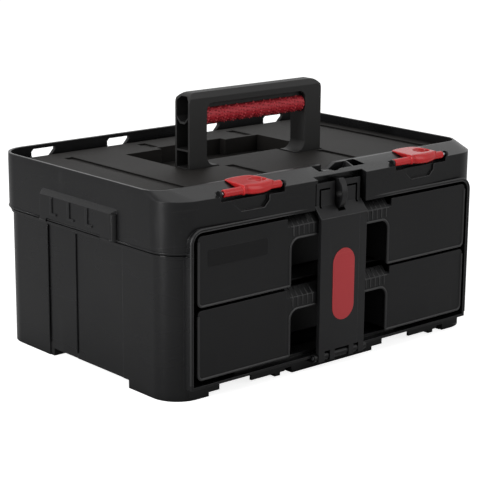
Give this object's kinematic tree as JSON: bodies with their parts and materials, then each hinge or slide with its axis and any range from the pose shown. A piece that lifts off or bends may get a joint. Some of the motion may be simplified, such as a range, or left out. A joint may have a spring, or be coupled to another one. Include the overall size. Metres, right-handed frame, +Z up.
{
  "type": "portable tool box",
  "caption": "Moulded tool box with drawers behind a lock bar, a fold-down carry handle with a soft grip and stacking latches on the front edge.",
  "frame": {"origin": "middle of the box on the surface it stands on", "axes": "+X to the right seen from the front, front towards -Y, +Z up"},
  "size_m": [0.4954, 0.3406, 0.3034],
  "materials": {
    "black_plastic": "satin moulded",
    "dark_plastic": "satin moulded",
    "red_plastic": "satin moulded",
    "grip_rubber": "knurled soft grip",
    "steel": "zinc plated"
  },
  "bodies": {
    "box": {"casing": "black_plastic", "top_cover": "black_plastic", "cover_deck": "black_plastic", "padlock_eye": "black_plastic", "mid_shelf": "dark_plastic", "upper_runner_left": "dark_plastic", "upper_runner_right": "dark_plastic", "lower_runner_left": "dark_plastic", "lower_runner_right": "dark_plastic", "runner_screws": "steel", "shelf_screws": "steel", "cover_screws": "steel", "handle_pin_left": "steel", "handle_pin_right": "steel", "latch_pin_left": "steel", "latch_pin_right": "steel", "lock_bar_pin": "steel"},
    "upper_drawer": {"upper_drawer_tub": "black_plastic", "upper_drawer_front": "black_plastic", "upper_dividers": "dark_plastic"},
    "lower_drawer": {"lower_drawer_tub": "black_plastic", "lower_drawer_front": "black_plastic", "lower_dividers": "dark_plastic"},
    "handle": {"handle": "black_plastic", "handle_grip": "grip_rubber"},
    "latch_left": {"latch_left": "red_plastic"},
    "latch_right": {"latch_right": "red_plastic"},
    "lock_bar": {"lock_bar": "black_plastic", "badge": "red_plastic"}
  },
  "joints": [
    {"name": "upper_drawer_slide", "type": "slide", "parent": "box", "child": "upper_drawer", "axis": [0, -1, 0], "range_m": [0, 0.2]},
    {"name": "lower_drawer_slide", "type": "slide", "parent": "box", "child": "lower_drawer", "axis": [0, -1, 0], "range_m": [0, 0.2]},
    {"name": "lock_bar_hinge", "type": "hinge", "parent": "box", "child": "lock_bar", "pos_m": [0, -0.1637, 0.014], "axis": [1, 0, 0], "range_deg": [0, 180]},
    {"name": "handle_hinge", "type": "hinge", "parent": "box", "child": "handle", "pos_m": [0, -0.0077, 0.2108], "axis": [-1, 0, 0], "range_deg": [0, 90]},
    {"name": "latch_left_hinge", "type": "hinge", "parent": "box", "child": "latch_left", "pos_m": [-0.1307, -0.1592, 0.2223], "axis": [1, 0, 0], "range_deg": [0, 95]},
    {"name": "latch_right_hinge", "type": "hinge", "parent": "box", "child": "latch_right", "pos_m": [0.1307, -0.1592, 0.2223], "axis": [1, 0, 0], "range_deg": [0, 95]}
  ],
  "couplings": [
    {"joint": "lower_drawer_slide", "follows": "upper_drawer_slide", "ratio": 1},
    {"joint": "lock_bar_hinge", "follows": "upper_drawer_slide", "rad_per_m": 15.7}
  ]
}
